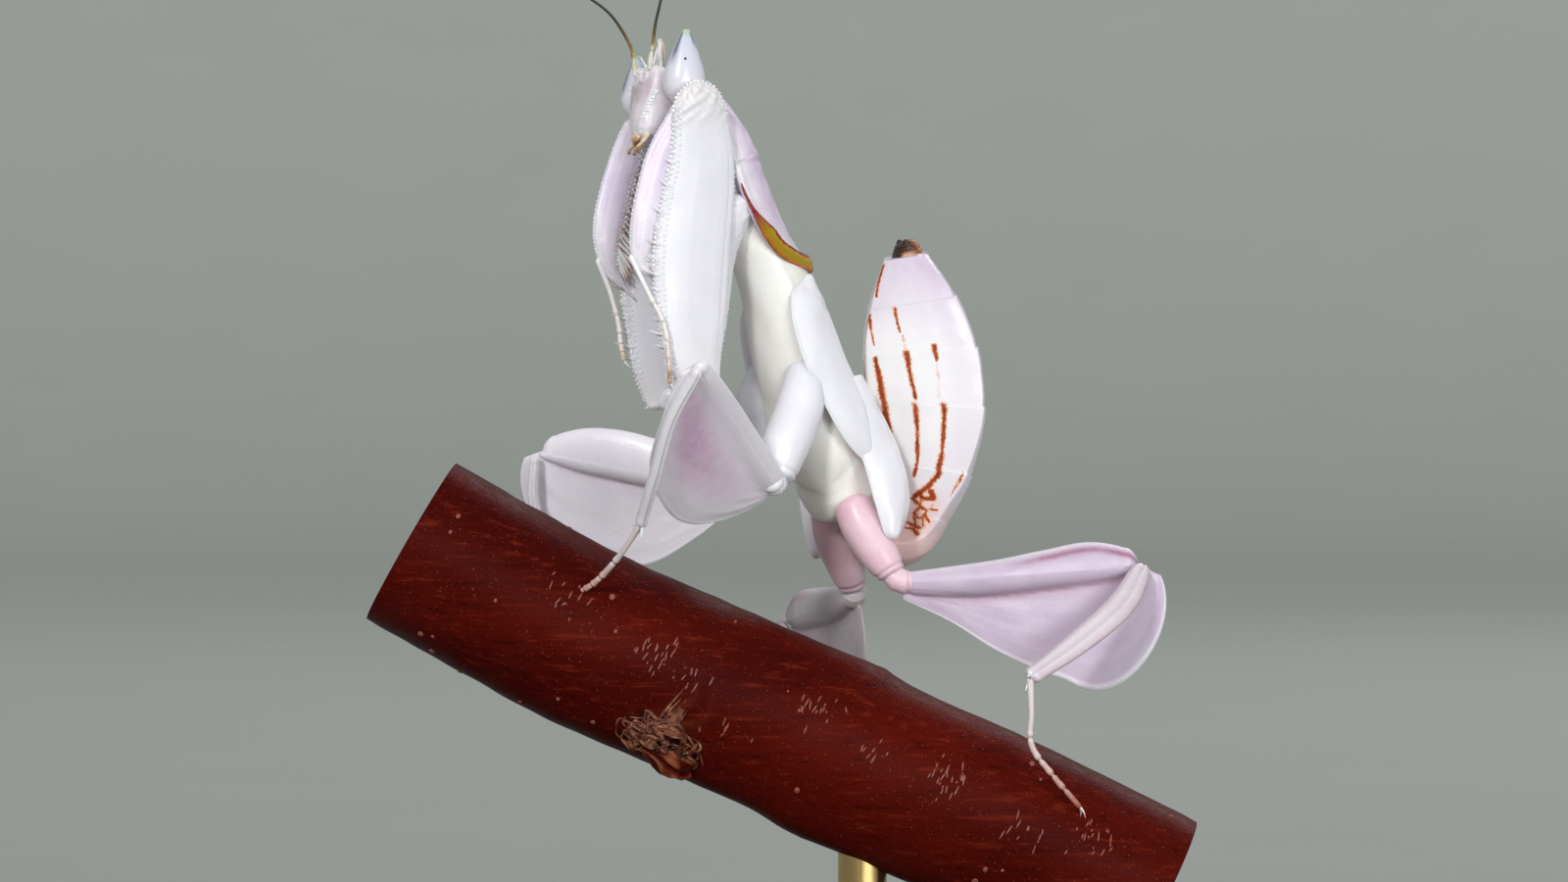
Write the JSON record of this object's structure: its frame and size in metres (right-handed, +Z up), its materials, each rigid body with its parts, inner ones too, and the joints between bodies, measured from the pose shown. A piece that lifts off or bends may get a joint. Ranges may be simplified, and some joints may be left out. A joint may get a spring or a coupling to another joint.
{
  "type": "orchid mantis model",
  "caption": "Still, life-size museum model of an orchid mantis nymph with petal-lobed legs, on a cut length of branch held by a small display stand.",
  "frame": {"origin": "middle of the underside of the stand's base", "axes": "+Z up out of the base, +X along the perch towards its low end, -Y towards the viewer's side, where the insect's left side faces"},
  "size_m": [0.062, 0.046, 0.0655],
  "materials": {
    "white_cuticle": "waxy white cuticle, softly glossy, fine folds",
    "lilac_cuticle": "translucent lilac-pink cuticle, pearly gloss",
    "petal_cuticle": "thin petal-like lobe, pale lilac, faint veins",
    "pink_cuticle": "glossy pink-lilac cuticle",
    "olive_band": "olive-green band edged in orange brown",
    "eye_shell": "smooth pale conical eye with fine blue lines, glossy",
    "dark_feeler": "dark olive-brown, fine rings",
    "amber_mouth": "golden-brown mouthparts, glossy",
    "dark_bark": "smooth dark-red bark, glossy, with pale pores and fine streaks",
    "stand_wood": "dark stained wood, satin",
    "stand_brass": "satin brass"
  },
  "bodies": {
    "root": {"abdomen_1": "white_cuticle", "abdomen_2": "white_cuticle", "abdomen_3": "white_cuticle", "abdomen_4": "white_cuticle", "abdomen_5": "white_cuticle", "abdomen_6": "white_cuticle", "abdomen_7": "white_cuticle", "abdomen_tip": "dark_feeler", "antenna_left": "dark_feeler", "antenna_right": "dark_feeler", "crown": "white_cuticle", "eye_left": "eye_shell", "eye_right": "eye_shell", "fore_coxa_left": "white_cuticle", "fore_coxa_right": "white_cuticle", "fore_femur_left": "white_cuticle", "fore_femur_right": "white_cuticle", "fore_tarsus_left": "white_cuticle", "fore_tarsus_right": "white_cuticle", "fore_tibia_left": "lilac_cuticle", "fore_tibia_right": "lilac_cuticle", "forewing_pad_left": "white_cuticle", "forewing_pad_right": "white_cuticle", "head": "white_cuticle", "hind_coxa_left": "pink_cuticle", "hind_coxa_right": "pink_cuticle", "hind_femur_left": "pink_cuticle", "hind_femur_right": "pink_cuticle", "hind_tarsus_left": "white_cuticle", "hind_tarsus_right": "white_cuticle", "hind_tibia_left": "pink_cuticle", "hind_tibia_right": "pink_cuticle", "hindwing_pad_left": "white_cuticle", "hindwing_pad_right": "white_cuticle", "mesothorax": "white_cuticle", "metathorax": "white_cuticle", "mid_coxa_left": "white_cuticle", "mid_coxa_right": "white_cuticle", "mid_femur_left": "petal_cuticle", "mid_femur_right": "petal_cuticle", "mid_tarsus_left": "white_cuticle", "mid_tarsus_right": "white_cuticle", "mid_tibia_left": "petal_cuticle", "mid_tibia_right": "petal_cuticle", "mouthparts": "amber_mouth", "neck": "white_cuticle", "perch": "dark_bark", "perch_knot": "dark_bark", "pronotum": "lilac_cuticle", "pronotum_band": "olive_band", "prothorax": "white_cuticle", "stand_base": "stand_wood", "stand_rod": "stand_brass"}
  },
  "joints": []
}
